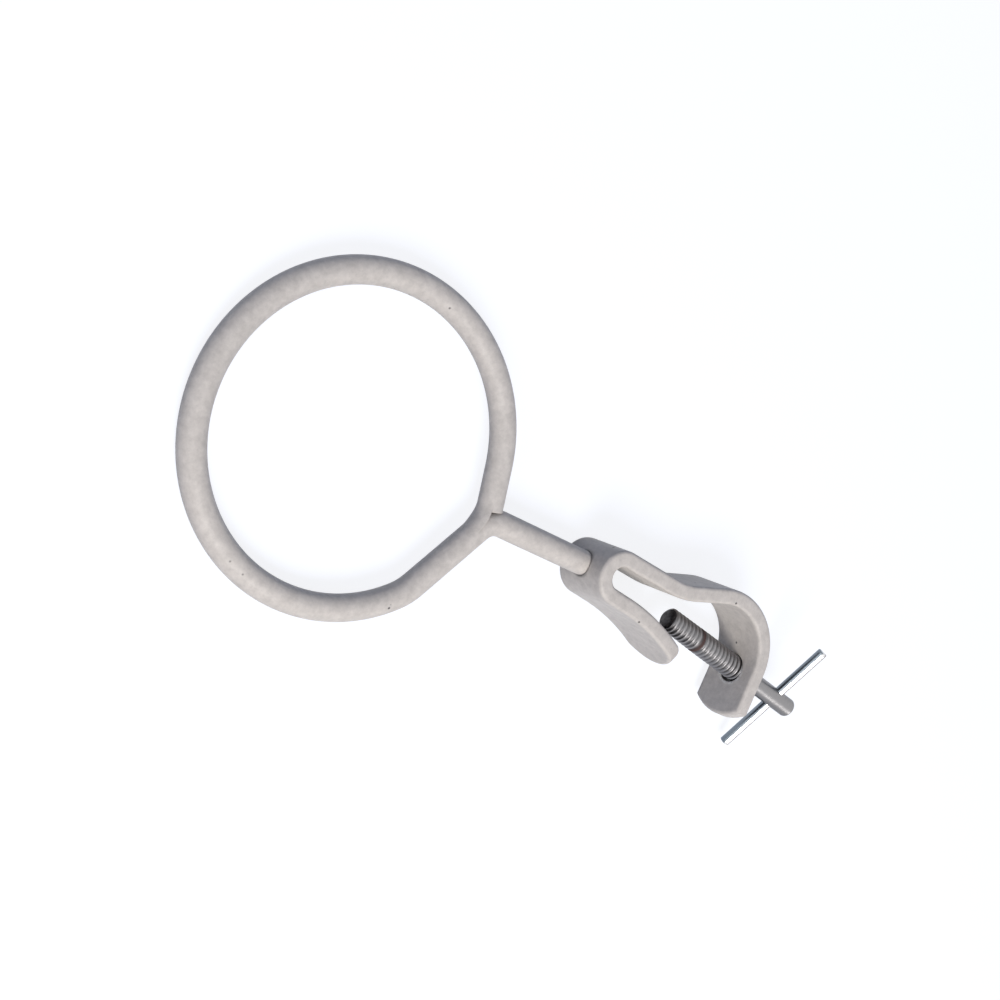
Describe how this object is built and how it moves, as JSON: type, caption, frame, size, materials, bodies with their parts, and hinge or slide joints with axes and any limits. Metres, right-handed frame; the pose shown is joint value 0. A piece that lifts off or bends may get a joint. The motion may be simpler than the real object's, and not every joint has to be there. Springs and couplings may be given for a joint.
{
  "type": "support ring clamp",
  "caption": "Round bar ring on a short straight stem, riveted to a folded flat bar clamp with a cross-handled grip screw.",
  "frame": {"origin": "centre of the ring, on its bar's centreline plane", "axes": "+Z is the ring's axis, +X runs along the stem from the ring to the clamp"},
  "size_m": [0.2505, 0.1014, 0.0227],
  "materials": {
    "rod_paint": "pale warm grey enamel, satin",
    "strip_paint": "pale warm grey enamel, satin",
    "screw_steel": "turned steel, lightly oiled",
    "handle_steel": "bright drawn bar"
  },
  "bodies": {
    "holder": {"ring_rod": "rod_paint", "clamp_strip": "strip_paint"},
    "screw": {"clamp_screw": "screw_steel", "cross_handle": "handle_steel"}
  },
  "joints": [
    {"name": "screw_travel", "type": "slide", "parent": "holder", "child": "screw", "axis": [0.9871, -0.1599, 0], "range_m": [-0.002, 0.03]}
  ]
}
